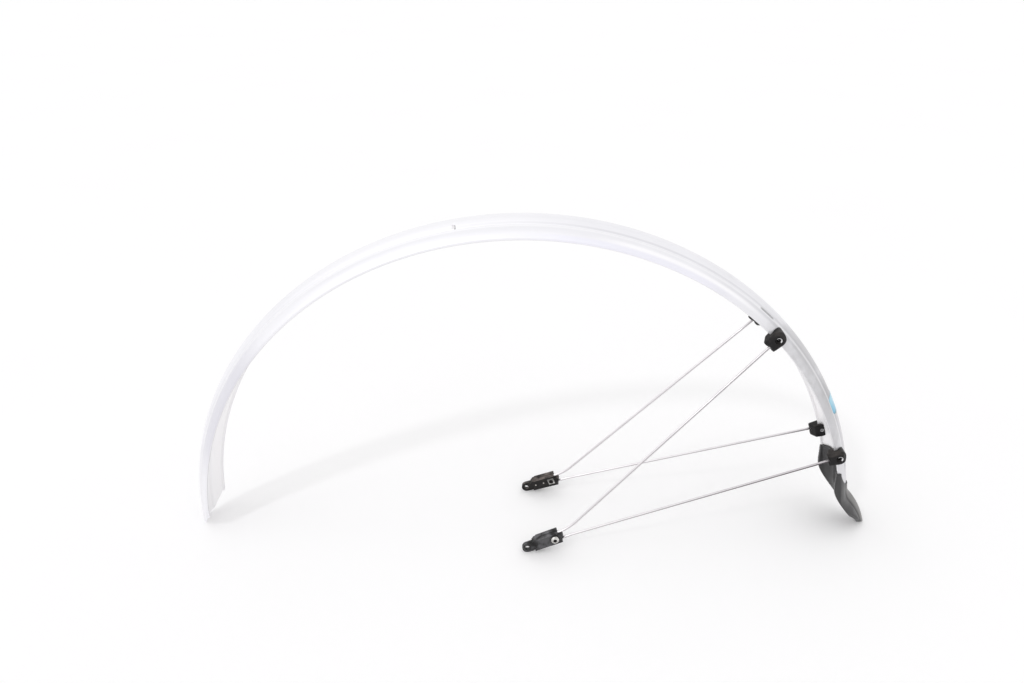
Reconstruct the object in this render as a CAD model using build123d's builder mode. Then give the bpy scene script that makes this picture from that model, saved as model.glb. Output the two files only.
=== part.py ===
"""Rear bicycle mudguard: a formed blade, four wire stays in clips, two stay ends and a push-on mud flap.

The wheel axis runs along Y. Angles are measured at the wheel axis, from the rear (+X) up and over the top to
the front (-X). The part stands on its front tip, its flap and its two stay ends. Millimetres, +Z up, and -Y
is the bicycle's left-hand side.
"""

import os
from math import acos, atan2, cos, degrees, hypot, radians, sin

from build123d import *

# Blade section
crown_radius = 372.0  # wheel axis to the outside of the crown
blade_width = 53.0
blade_depth = 17.3  # crown to edge
blade_thickness = 1.2
flank_span = 12.8  # shoulder line to the blade's side
crown_rise = 6.0  # crown above the shoulder lines
flank_bulge = 1.4
lip_height = 2.3
hem_height = 3.2
hem_thickness = 0.6

# Blade ends and cable slot
front_end_angle = 180.0
rear_end_angle = 8.9
end_rounding = 31.0  # length over which an end narrows to its tip
slot_angle = 100.4
slot_inset = 3.2  # left shoulder line to the middle of the slot
slot_length = 5.4
slot_width = 2.8

# Sticker on the crown
sticker_angle = 26.7
sticker_length = 23.6
sticker_inset = 0.3  # shoulder line to the sticker
sticker_corner = 4.0
sticker_thickness = 0.3

# Mud flap
flap_lip = 1.3
flap_tongue = 1.4
flap_edge_drop = 5.0  # how far the flap wraps below the blade's edge at most
flap_tongue_length = 38.0  # how far the tongue's two ears reach into the blade
flap_tongue_root = 20.0  # how far the whole tongue reaches in
flap_ear_height = 8.5  # ears above the blade's edge
flap_overlap = 2.5  # how far the outer lip covers the blade's end
flap_root = 2.0  # solid length below the blade's end
flare_radius = 25.0
flare_angle = 34.0
return_radius = 100.0
return_angle = 27.0
flap_taper_length = 54.0  # from full width to the tip
flap_taper_start = 1.0  # outside the flanks
flap_waist_width = 41.0  # partway down the taper
flap_waist_height = 25.0  # above the tip
# Rim of the flap in side view: past the blade's end along the crown, then out from the blade's edge
flap_rim = [(-48.0, -0.9), (-28.0, -2.0), (-10.0, -3.8), (17.5, 6.9), (38.3, 20.5), (61.0, 41.0)]

# Stay clips and their rivets
upper_clip_angle = 45.2
lower_clip_angle = 18.2
rivet_inset = 2.6  # rivet axis above the blade's edge
clip_head_radius = 8.4
clip_tail = 11.8  # rivet axis to the tail of the clip
clip_tail_width = 14.0
clip_tail_slope = 4.5  # the tail is shorter by this on its inner side
clip_tail_wall = 1.0  # wire to where the slope ends
clip_notch_width = 4.0
clip_notch_depth = 1.4
clip_notch_taper = 0.6
clip_stand = 7.5  # blade's side out to the clip's outer face
clip_grip = 5.0  # blade's side in to the inner cheek
clip_cheek = 3.0  # rivet axis to the top of the inner cheek
clip_bevel = 2.4
clip_slope_length = 4.4  # the head end falls back over this length
clip_slope_depth = 5.0
clip_root_inset = 11.0  # blade's side in to where the head end meets the blade
rivet_shank = 3.5
rivet_bore = 2.2
rivet_flange = 7.2
rivet_flange_height = 1.3
rivet_flange_bevel = 0.4
rivet_funnel = 5.6
rivet_funnel_depth = 1.6
rivet_clench = 4.8
rivet_clench_height = 0.7
outer_recess_depth = 1.4
inner_recess_depth = 0.8

# Stays
wire_diameter = 2.8
wire_stand = 4.0  # blade's side out to the wire's end in its clip
wire_gap = 1.4  # wire end to rivet shank
wire_bend_radius = 50.0
wire_bend_reach = 11.0  # end of the stay end to the corner of the bend

# Stay ends
eyelet_behind = 6.6  # wheel axis to eyelet
eyelet_spread = 107.2  # between the two eyelets
eyelet_bore = 5.6
tip_radius = 5.75
tip_thickness = 4.0
washer_seat = 18.6  # diameter of the flat round the eyelet
stay_end_tilt = 22.0
body_start = 10.0
body_length = 39.5
body_above = 7.7
body_below = 6.8
body_thickness = 9.5
body_rounding = 0.8
upper_wire_offset = 5.0
lower_wire_offset = -4.0
wire_channel_start = 16.5
wire_wall = 1.0
prong_length = 2.5
top_setback = 1.8
rim_height = 1.7
rim_overhang = 0.7
rim_start = 12.5
slit_start = 18.0
slit_width = 0.8
pip_diameter = 1.8
pip_height = 0.4
pip_places = [(13.0, 1.6), (23.2, 1.6)]

# Clamp screw and nut
screw_from_end = 7.0  # screw axis to the end of the body
screw_across = 0.5
screw_diameter = 4.9
screw_hole = 5.3
screw_head = 9.5
screw_head_height = 3.4
screw_head_rounding = 1.6
screw_seat_depth = 0.8
screw_drive = 4.0  # hexagon socket across its flats
screw_drive_depth = 1.9
screw_end = 0.5  # screw past the nut
nut_width = 8.0
nut_thickness = 2.7
nut_bore = 5.0
nut_pocket_depth = 2.4
nut_chamfer = 0.5

# Clearances
fit_clearance = 0.15  # blade to what clasps it
wire_clearance = 0.1
rivet_clearance = 0.15
flange_clearance = 0.1
pocket_clearance = 0.1
head_clearance = 0.4

# Shared places
half_width = blade_width / 2
shoulder_side = half_width - flank_span
edge_radius = crown_radius - blade_depth
rivet_radius = edge_radius + rivet_inset
wire_radius = wire_diameter / 2
wire_side = half_width + wire_stand
clip_outer = half_width + clip_stand
clip_inner = half_width - clip_grip
clip_root = half_width - clip_root_inset
clip_tail_end = wire_side - wire_radius - wire_clearance - clip_tail_wall
screw_along = body_length - screw_from_end
cut_margin = 10.0  # how far cutting shapes reach past what they cut
wheel_axis = Axis((0, 0, 0), (0, 1, 0))


def arc_angle(length):
    """Angle at the wheel axis of a length along the crown."""
    return degrees(length / crown_radius)


def outward(angle):
    """Direction away from the wheel axis at an angle."""
    return Vector(cos(radians(angle)), 0, sin(radians(angle)))


def section_plane(crown_point, direction):
    """Plane of a blade section: local x along the axle, local y outwards, crown at y = crown_radius."""
    centre = crown_point - direction * crown_radius
    return Plane(centre, x_dir=(0, 1, 0), z_dir=Vector(0, 1, 0).cross(direction))


def radial_plane(angle):
    """Section plane through the wheel axis."""
    return section_plane(outward(angle) * crown_radius, outward(angle))


def skin_plane(angle, radius):
    """Plane facing outwards at an angle: local x along the axle, local y towards the front."""
    return Plane(outward(angle) * radius, x_dir=(0, 1, 0), z_dir=outward(angle))


def filled_profile(growth):
    """The blade's outline filled in down to the wheel axis, grown or shrunk all round."""
    lip_top = edge_radius + lip_height
    shoulder = crown_radius - crown_rise
    with BuildSketch() as filled:
        with BuildLine():
            Line((-half_width, 0), (-half_width, lip_top))
            SagittaArc((-half_width, lip_top), (-shoulder_side, shoulder), flank_bulge)
            ThreePointArc((-shoulder_side, shoulder), (0, crown_radius), (shoulder_side, shoulder))
            SagittaArc((shoulder_side, shoulder), (half_width, lip_top), flank_bulge)
            Polyline((half_width, lip_top), (half_width, 0), (-half_width, 0))
        make_face()
        if growth:
            offset(amount=growth, kind=Kind.TANGENT)
    return filled.sketch


def channel(plane, outset, inset, edge):
    """Channel section between two offsets of the blade's outline, open below the edge."""
    outer = filled_profile(outset)
    inner = filled_profile(-inset)
    with BuildSketch(plane) as section:
        add(outer)
        add(inner, mode=Mode.SUBTRACT)
        Rectangle(2 * blade_width, 2 * edge, mode=Mode.SUBTRACT)
    return section.sketch


def blade_section(plane, clearance):
    """The blade's own section with its hems, grown by a clearance."""
    sheet = channel(Plane.XY, clearance, blade_thickness + clearance, edge_radius - clearance)
    hem_reach = blade_thickness + hem_thickness + clearance
    hem_side = half_width - hem_reach / 2
    with BuildSketch(plane) as section:
        add(sheet)
        with Locations((-hem_side, edge_radius + hem_height / 2), (hem_side, edge_radius + hem_height / 2)):
            Rectangle(hem_reach, hem_height + 2 * clearance)
    return section.sketch


def end_trim(angle, inwards, clearance):
    """What to cut from a blade end to round its tip; inwards is +1 at the rear and -1 in front."""
    with BuildSketch(skin_plane(angle, crown_radius + cut_margin)) as trim:
        with Locations((0, inwards * (end_rounding - cut_margin) / 2)):
            Rectangle(blade_width + 2 * cut_margin, end_rounding + cut_margin)
        with Locations((0, inwards * end_rounding)):
            Ellipse(half_width + clearance, end_rounding + clearance, mode=Mode.SUBTRACT)
    return trim.sketch


def clip_side(angle):
    """Plane on a clip's rivet axis: local x outwards, local z to the left."""
    return Plane(outward(angle) * rivet_radius, x_dir=outward(angle), z_dir=(0, -1, 0))


def wire_end(angle):
    """Where a left-hand wire ends in its clip."""
    return outward(angle) * (rivet_radius - rivet_shank / 2 - wire_gap) - Vector(0, wire_side, 0)


# Blade
with BuildPart() as blade:
    revolve(
        blade_section(radial_plane(front_end_angle), 0),
        axis=wheel_axis,
        revolution_arc=front_end_angle - rear_end_angle,
    )
    trim_depth = -(blade_depth + 2 * cut_margin)
    extrude(end_trim(front_end_angle, -1, 0), amount=trim_depth, mode=Mode.SUBTRACT)
    extrude(end_trim(rear_end_angle, 1, 0), amount=trim_depth, mode=Mode.SUBTRACT)
    with BuildSketch(skin_plane(slot_angle, crown_radius + cut_margin)):
        with Locations((slot_inset - shoulder_side, 0)):
            SlotOverall(slot_length, slot_width)
    extrude(amount=-(blade_depth + cut_margin), mode=Mode.SUBTRACT)
    for clip_angle in (upper_clip_angle, lower_clip_angle):
        with BuildSketch(clip_side(clip_angle)):
            Circle(rivet_shank / 2 + rivet_clearance)
        extrude(amount=blade_width, both=True, mode=Mode.SUBTRACT)

# Sticker, laid on the crown
with BuildPart() as sticker:
    film_arc = arc_angle(2 * sticker_length)
    film_start = radial_plane(sticker_angle + film_arc / 2)
    film = channel(film_start, sticker_thickness, 0, crown_radius - crown_rise)
    revolve(film, axis=wheel_axis, revolution_arc=film_arc)
    with BuildSketch(skin_plane(sticker_angle, crown_radius + cut_margin)):
        RectangleRounded(2 * (shoulder_side - sticker_inset), sticker_length, sticker_corner)
    extrude(amount=-2 * cut_margin, mode=Mode.INTERSECT)

# Mud flap: a socket round the blade's end, then a flare outwards and a return towards the ground
flap_outset = fit_clearance + flap_lip
flap_inset = blade_thickness + fit_clearance + flap_tongue
flap_edge = edge_radius - flap_edge_drop
tongue_angle = rear_end_angle + arc_angle(flap_tongue_length)
whole_tongue_angle = rear_end_angle + arc_angle(flap_tongue_root)
socket_angle = tongue_angle + arc_angle(cut_margin)
mouth_angle = rear_end_angle + arc_angle(flap_overlap)
root_angle = rear_end_angle - arc_angle(flap_root)
flare_out = outward(root_angle + flare_angle)
flare_centre = outward(root_angle) * (crown_radius + flare_radius)
flare_end = flare_centre - flare_out * flare_radius
return_centre = flare_end - flare_out * return_radius
tip_out = outward(root_angle + flare_angle - return_angle)
tip_end = return_centre + tip_out * return_radius

with BuildPart() as socket:
    revolve(
        blade_section(radial_plane(socket_angle), fit_clearance),
        axis=wheel_axis,
        revolution_arc=socket_angle - rear_end_angle + arc_angle(cut_margin),
    )
    extrude(end_trim(rear_end_angle, 1, fit_clearance), amount=trim_depth, mode=Mode.SUBTRACT)

with BuildPart() as mouth:
    revolve(
        channel(radial_plane(socket_angle), flap_outset + cut_margin, -fit_clearance, flap_edge - cut_margin),
        axis=wheel_axis,
        revolution_arc=socket_angle - mouth_angle + arc_angle(cut_margin),
    )
    extrude(end_trim(mouth_angle, 1, 0), amount=trim_depth, mode=Mode.SUBTRACT)

with BuildPart() as flap:
    revolve(
        channel(radial_plane(tongue_angle), flap_outset, flap_inset, flap_edge),
        axis=wheel_axis,
        revolution_arc=tongue_angle - root_angle,
    )
    with BuildSketch(radial_plane(socket_angle)):
        with Locations((0, edge_radius + flap_ear_height + crown_radius / 2)):
            Rectangle(2 * blade_width, crown_radius)
    revolve(axis=wheel_axis, revolution_arc=socket_angle - whole_tongue_angle, mode=Mode.SUBTRACT)
    add(socket.part, mode=Mode.SUBTRACT)
    add(mouth.part, mode=Mode.SUBTRACT)
    revolve(
        channel(radial_plane(root_angle), flap_outset, flap_inset, flap_edge),
        axis=Axis(flare_centre, (0, -1, 0)),
        revolution_arc=flare_angle,
    )
    revolve(
        channel(section_plane(flare_end, flare_out), flap_outset, flap_inset, flap_edge),
        axis=Axis(return_centre, (0, 1, 0)),
        revolution_arc=return_angle,
    )
    with BuildSketch(Plane(tip_end + tip_out * cut_margin, x_dir=(0, 1, 0), z_dir=tip_out)):
        with Locations((0, (flap_taper_length - cut_margin) / 2)):
            Rectangle(blade_width + 2 * cut_margin, flap_taper_length + cut_margin)
        with BuildLine():
            flap_side = half_width + flap_outset + flap_taper_start
            Spline(
                (-flap_side, flap_taper_length),
                (-flap_waist_width / 2, flap_waist_height),
                (0, 0),
                (flap_waist_width / 2, flap_waist_height),
                (flap_side, flap_taper_length),
            )
            Line((flap_side, flap_taper_length), (-flap_side, flap_taper_length))
        make_face(mode=Mode.SUBTRACT)
    extrude(amount=-crown_radius, mode=Mode.SUBTRACT)
    rim = [outward(rear_end_angle - arc_angle(past)) * (edge_radius + out) for past, out in flap_rim]
    with BuildSketch(Plane.XZ):
        with BuildLine():
            Spline(*[(point.X, point.Z) for point in rim])
            Polyline((rim[-1].X, rim[-1].Z), (0, rim[-1].Z), (0, rim[0].Z), (rim[0].X, rim[0].Z))
        make_face()
    extrude(amount=blade_width, both=True, mode=Mode.SUBTRACT)

# Plane of the left-hand stays, through the eyelet and the two wire ends; local x runs along the stay end
eyelet = Vector(eyelet_behind, -eyelet_spread / 2, tip_radius)
to_upper_end = wire_end(upper_clip_angle) - eyelet
to_lower_end = wire_end(lower_clip_angle) - eyelet
stay_normal = to_lower_end.cross(to_upper_end).normalized()
level = Vector(0, 0, 1).cross(stay_normal).normalized()
stay_axis = level.rotate(Axis((0, 0, 0), stay_normal), stay_end_tilt)
stay_plane = Plane(eyelet, x_dir=stay_axis, z_dir=stay_normal)

pieces = {"blade": blade, "blue_sticker": sticker, "mud_flap": flap}

# Where a clip's straight sides touch its round head
clip_corner = atan2(clip_tail_width / 2, -clip_tail)
touch_turn = acos(clip_head_radius / hypot(clip_tail, clip_tail_width / 2))
clip_touch = Vector(clip_head_radius, 0).rotate(Axis.Z, degrees(clip_corner - touch_turn))

# Left-hand clips, rivets and stays
for level_name, clip_angle, wire_offset in (
    ("upper", upper_clip_angle, upper_wire_offset),
    ("lower", lower_clip_angle, lower_wire_offset),
):
    with BuildPart() as stay:
        with BuildLine(stay_plane) as route:
            end_place = stay_plane.to_local_coords(wire_end(clip_angle))
            FilletPolyline(
                (wire_channel_start, wire_offset),
                (body_length + wire_bend_reach, wire_offset),
                (end_place.X, end_place.Y),
                radius=wire_bend_radius,
            )
        with BuildSketch(Plane(route.line @ 0, z_dir=route.line % 0)):
            Circle(wire_radius)
        sweep()

    # The clip's tail follows its wire
    lean = route.line % 1
    side_plane = Plane(clip_side(clip_angle).origin, x_dir=(lean.X, 0, lean.Z), z_dir=(0, -1, 0))
    profile_normal = side_plane.x_dir.cross(side_plane.z_dir)
    clip_profile = Plane(side_plane.origin, x_dir=side_plane.x_dir, z_dir=profile_normal)

    with BuildPart() as clip:
        with BuildSketch(side_plane):
            with BuildLine():
                Polyline(
                    (clip_touch.X, -clip_touch.Y),
                    (-clip_tail, -clip_tail_width / 2),
                    (-clip_tail, clip_tail_width / 2),
                    (clip_touch.X, clip_touch.Y),
                )
                ThreePointArc(
                    (clip_touch.X, clip_touch.Y),
                    (clip_head_radius, 0),
                    (clip_touch.X, -clip_touch.Y),
                )
            make_face()
        extrude(amount=clip_outer)
        chamfer(clip.faces().sort_by(Axis.Y)[0].edges(), clip_bevel)
        with BuildSketch(clip_profile):
            with BuildLine():
                Polyline(
                    (clip_tail_slope - clip_tail, clip_inner),
                    (-clip_tail, clip_tail_end),
                    (-clip_tail, clip_outer),
                    (clip_head_radius - clip_slope_length, clip_outer),
                    (clip_head_radius, clip_outer - clip_slope_depth),
                    (clip_head_radius, clip_root),
                    (clip_cheek, clip_inner),
                    close=True,
                )
            make_face()
        extrude(amount=clip_head_radius, both=True, mode=Mode.INTERSECT)
        with BuildSketch(side_plane):
            with Locations((-clip_tail, 0)):
                Polygon(
                    (0, -clip_notch_width / 2 - clip_notch_taper),
                    (clip_notch_depth, -clip_notch_width / 2),
                    (clip_notch_depth, clip_notch_width / 2),
                    (0, clip_notch_width / 2 + clip_notch_taper),
                    align=None,
                )
        extrude(amount=clip_outer, mode=Mode.SUBTRACT)
        slot_arc = arc_angle(4 * clip_head_radius)
        revolve(
            blade_section(radial_plane(clip_angle + slot_arc / 2), fit_clearance),
            axis=wheel_axis,
            revolution_arc=slot_arc,
            mode=Mode.SUBTRACT,
        )
        with BuildSketch(side_plane):
            Circle(rivet_shank / 2 + rivet_clearance)
        extrude(amount=clip_outer, mode=Mode.SUBTRACT)
        with BuildSketch(side_plane.offset(clip_outer - outer_recess_depth)):
            Circle(rivet_flange / 2 + flange_clearance)
        extrude(amount=outer_recess_depth, mode=Mode.SUBTRACT)
        with BuildSketch(side_plane.offset(clip_inner)):
            Circle(rivet_clench / 2 + flange_clearance)
        extrude(amount=inner_recess_depth, mode=Mode.SUBTRACT)
        with BuildSketch(Plane(route.line @ 1, z_dir=(route.line % 1) * -1)):
            Circle(wire_radius + wire_clearance)
        extrude(amount=2 * clip_tail, mode=Mode.SUBTRACT)

    with BuildPart() as rivet:
        flange_seat = clip_outer - outer_recess_depth
        flange_top = flange_seat + rivet_flange_height
        clench_seat = clip_inner + inner_recess_depth
        with BuildSketch(clip_profile):
            with BuildLine():
                Polyline(
                    (rivet_bore / 2, clench_seat - rivet_clench_height),
                    (rivet_clench / 2, clench_seat - rivet_clench_height),
                    (rivet_clench / 2, clench_seat),
                    (rivet_shank / 2, clench_seat),
                    (rivet_shank / 2, flange_seat),
                    (rivet_flange / 2, flange_seat),
                    (rivet_flange / 2, flange_top - rivet_flange_bevel),
                    (rivet_flange / 2 - rivet_flange_bevel, flange_top),
                    (rivet_funnel / 2, flange_top),
                    (rivet_bore / 2, flange_top - rivet_funnel_depth),
                    close=True,
                )
            make_face()
        revolve(axis=Axis(side_plane.origin, side_plane.z_dir))

    pieces[f"left_{level_name}_stay"] = stay
    pieces[f"left_{level_name}_stay_clip"] = clip
    pieces[f"left_{level_name}_clip_rivet"] = rivet

# Left-hand stay end: an eyelet, then a split body that clamps both wires
half_body = body_thickness / 2
with BuildPart() as stay_end:
    with BuildSketch(stay_plane):
        with BuildLine():
            Polyline(
                (0, -tip_radius),
                (body_length, -body_below),
                (body_length, lower_wire_offset + wire_radius),
                (body_length + prong_length, lower_wire_offset + wire_radius + wire_wall),
                (body_length + prong_length, upper_wire_offset - wire_radius - wire_wall),
                (body_length - top_setback, upper_wire_offset - wire_radius),
                (body_length - top_setback, body_above),
                (body_start, body_above),
                (body_start - (body_above - tip_radius), tip_radius),
                (0, tip_radius),
            )
            ThreePointArc((0, tip_radius), (-tip_radius, 0), (0, -tip_radius))
        make_face()
    extrude(amount=half_body, both=True)
    sides = stay_end.faces().filter_by(lambda face: abs(face.normal_at().dot(stay_normal)) > 0.99)
    fillet(sides.edges(), body_rounding)
    for seat_plane, seat_depth in (
        (stay_plane.offset(tip_thickness / 2), half_body),
        (stay_plane.offset(-tip_thickness / 2), -half_body),
    ):
        with BuildSketch(seat_plane):
            Circle(washer_seat / 2)
        extrude(amount=seat_depth, mode=Mode.SUBTRACT)
    with BuildSketch(stay_plane):
        with Locations(((rim_start + body_length - top_setback) / 2, body_above - rim_height / 2)):
            Rectangle(body_length - top_setback - rim_start, rim_height)
    extrude(amount=half_body + rim_overhang, both=True)
    with BuildSketch(stay_plane.offset(-half_body)):
        with Locations(*pip_places):
            Circle(pip_diameter / 2)
    extrude(amount=-pip_height)
    with BuildSketch(stay_plane):
        Circle(eyelet_bore / 2)
        with Locations((screw_along, screw_across)):
            Circle(screw_hole / 2)
    extrude(amount=body_thickness, both=True, mode=Mode.SUBTRACT)
    with BuildSketch(stay_plane):
        with Locations((slit_start + body_length / 2, 0)):
            Rectangle(body_length, 2 * body_length)
    extrude(amount=slit_width / 2, both=True, mode=Mode.SUBTRACT)
    for wire_offset in (upper_wire_offset, lower_wire_offset):
        channel_start = stay_plane.from_local_coords((wire_channel_start, wire_offset, 0))
        with BuildSketch(Plane(channel_start, z_dir=stay_axis)):
            Circle(wire_radius + wire_clearance)
        extrude(amount=body_length, mode=Mode.SUBTRACT)
    with BuildSketch(stay_plane.offset(half_body - screw_seat_depth)):
        with Locations((screw_along, screw_across)):
            Circle(screw_head / 2 + head_clearance)
    extrude(amount=body_thickness, mode=Mode.SUBTRACT)
    with BuildSketch(stay_plane.offset(nut_pocket_depth - half_body)):
        with Locations((screw_along, screw_across)):
            Rectangle(nut_width + 2 * pocket_clearance, nut_width + 2 * pocket_clearance)
    extrude(amount=-body_thickness, mode=Mode.SUBTRACT)

# Clamp screw with a hexagon socket, and its square nut
with BuildPart() as screw:
    head_seat = half_body - screw_seat_depth
    screw_length = body_thickness - screw_seat_depth - nut_pocket_depth + nut_thickness + screw_end
    with BuildSketch(stay_plane.offset(head_seat)):
        with Locations((screw_along, screw_across)):
            Circle(screw_head / 2)
    extrude(amount=screw_head_height)
    fillet(screw.faces().sort_by(Axis(eyelet, stay_normal))[-1].edges(), screw_head_rounding)
    with BuildSketch(stay_plane.offset(head_seat)):
        with Locations((screw_along, screw_across)):
            Circle(screw_diameter / 2)
    extrude(amount=-screw_length)
    with BuildSketch(stay_plane.offset(head_seat + screw_head_height)):
        with Locations((screw_along, screw_across)):
            RegularPolygon(screw_drive / 2, 6, major_radius=False)
    extrude(amount=-screw_drive_depth, mode=Mode.SUBTRACT)

with BuildPart() as nut:
    with BuildSketch(stay_plane.offset(nut_pocket_depth - half_body)):
        with Locations((screw_along, screw_across)):
            Rectangle(nut_width, nut_width)
            Circle(nut_bore / 2, mode=Mode.SUBTRACT)
    extrude(amount=-nut_thickness)
    chamfer(nut.faces().sort_by(Axis(eyelet, stay_normal))[0].outer_wire().edges(), nut_chamfer)

pieces["left_stay_end"] = stay_end
pieces["left_clamp_screw"] = screw
pieces["left_clamp_nut"] = nut

# Right-hand pieces mirror the left-hand ones
for name in [name for name in pieces if name.startswith("left_")]:
    with BuildPart() as twin:
        mirror(pieces[name].part, about=Plane.XZ)
    pieces[name.replace("left_", "right_")] = twin

# The origin is on the ground, under the middle of the whole part
boxes = [piece.part.bounding_box() for piece in pieces.values()]
middle = (min(box.min.X for box in boxes) + max(box.max.X for box in boxes)) / 2
ground = min(box.min.Z for box in boxes)

os.makedirs("parts", exist_ok=True)
for name, piece in pieces.items():
    piece.part.label = name
    piece.part.position -= Vector(middle, 0, ground)
    export_step(piece.part, f"parts/{name}.step")
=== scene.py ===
"""Looks of a rear bicycle mudguard: blade, wire stays, clips, stay ends, mud flap and blue film.

Metres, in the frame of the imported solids: +Z up, and -Y is the left-hand side, which faces the camera.
Angles are measured at the wheel axis, from the rear (+X) up and over the top to the front (-X).
"""

from math import asin, cos, hypot, pi, radians, sin, sqrt

import bmesh
import bpy
from mathutils import Euler, Matrix, Vector


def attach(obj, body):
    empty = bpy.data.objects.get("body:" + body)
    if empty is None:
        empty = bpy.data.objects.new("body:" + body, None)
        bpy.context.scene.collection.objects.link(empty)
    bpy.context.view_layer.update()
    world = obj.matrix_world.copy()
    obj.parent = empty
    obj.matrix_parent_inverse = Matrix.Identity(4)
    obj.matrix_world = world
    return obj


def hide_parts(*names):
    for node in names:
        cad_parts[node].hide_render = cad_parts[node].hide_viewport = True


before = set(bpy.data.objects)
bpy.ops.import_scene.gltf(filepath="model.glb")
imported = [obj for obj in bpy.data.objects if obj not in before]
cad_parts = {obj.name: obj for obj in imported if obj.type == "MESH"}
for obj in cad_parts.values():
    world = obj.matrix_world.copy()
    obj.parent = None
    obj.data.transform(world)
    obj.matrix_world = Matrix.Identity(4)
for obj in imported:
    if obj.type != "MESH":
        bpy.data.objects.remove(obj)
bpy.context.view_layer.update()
scene = bpy.context.scene
mm = 0.001

# Places and sizes that the solids have, in metres and radians
wheel_axis = Vector((-13.1186, 0, 0.0684)) * mm
crown_radius = 372 * mm
blade_half_width = 26.5 * mm
blade_edge = 354.7 * mm
blade_thickness = 1.2 * mm
hem_thickness = 0.6 * mm
shoulder_side = 13.7 * mm
crown_rise = 6 * mm
crown_round = (shoulder_side ** 2 + crown_rise ** 2) / (2 * crown_rise)
lip_top = 357 * mm
flank_bulge = 1.4 * mm
front_end = radians(180)
rear_end = radians(8.9)
end_rounding = 31 * mm
slot_angle = radians(100.4)
slot_side = -10.5 * mm
slot_length = 5.4 * mm
slot_width = 2.8 * mm
upper_clip = radians(45.2)
lower_clip = radians(18.2)
rivet_radius = 357.3 * mm
rivet_hole = 1.9 * mm
film_angle = radians(26.7)
film_length = 23.6 * mm
film_width = 26.8 * mm
film_corner = 4 * mm
film_thickness = 0.3 * mm
wire_radius = 1.4 * mm
wire_side = 30.5 * mm
wire_end_radius = 354.15 * mm
wire_bend = 50 * mm
eyelet_place = Vector((6.6, -53.6, 5.75)) * mm
stay_end_tilt = radians(22)
channel_start = 16.5 * mm
bend_start = 50.5 * mm
upper_wire_offset = 5 * mm
lower_wire_offset = -4 * mm
screw_along = 32.5 * mm
screw_across = 0.5 * mm
screw_drive = 4 * mm
half_body = 4.75 * mm
screw_seat = 0.8 * mm
nut_pocket = 2.4 * mm
nut_thickness = 2.7 * mm
pip_height = 0.4 * mm
pip_places = ((13 * mm, 1.6 * mm), (23.2 * mm, 1.6 * mm))

# Fineness of the scene's own meshes, and small forms that only the scene has
loop_crown_points = 13
loop_flank_points = 24
blade_steps = 280
blade_crease = 75
bead_height = 0.28 * mm
bead_width = 1.7 * mm
cutter_points = 24
film_rows = 40
film_columns = 24
film_lift = 0.02 * mm
film_slope = 0.12 * mm
bend_steps = 28
wire_facets = 24
wire_tip_edge = 0.3 * mm
rivet_facets = 40
screw_facets = 48
turned_crease = 35
nut_crease = 30
weld_distance = 0.002 * mm
end_edge = 0.3 * mm
clip_edge = 0.45 * mm
clip_skin = 0.35 * mm
clip_rounds = 42
flap_skin = 0.5 * mm
flap_rounds = 12

# How dim each wire is before and after a stretch of its length, and how much dust, partly painted top light,
# each moulding has
wire_dimming = {("left", "upper"): (0.15, 0.4), ("left", "lower"): (0.1, 1.0),
                ("right", "upper"): (0.0, 0.2), ("right", "lower"): (0.0, 0.4)}
dimming_start = 50 * mm
dimming_end = 270 * mm
end_dust_and_top_light = 0.8
end_cling = {"left": 0.62, "right": 0.06}
clip_dust_and_top_light = 0.2


def crown_length(degrees):
    """Length along the crown of an angle in degrees."""
    return crown_radius * radians(degrees)


def on_arch(angle, radius, side):
    """Point at an angle round the wheel, a distance from its axis and a distance to the side."""
    return wheel_axis + Vector((radius * cos(angle), side, radius * sin(angle)))


def stay_plane(side):
    """Matrix of the plane of one side's stays: x along the stay end, z away from the wheel."""
    eyelet = wheel_axis + eyelet_place
    lower = on_arch(lower_clip, wire_end_radius, -wire_side) - eyelet
    upper = on_arch(upper_clip, wire_end_radius, -wire_side) - eyelet
    normal = lower.cross(upper).normalized()
    level = Vector((0, 0, 1)).cross(normal).normalized()
    lengthways = Matrix.Rotation(stay_end_tilt, 3, normal) @ level
    plane = Matrix((lengthways, normal.cross(lengthways), normal)).transposed().to_4x4()
    plane.translation = eyelet
    return Matrix.Diagonal((1, side, 1, 1)) @ plane


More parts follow.
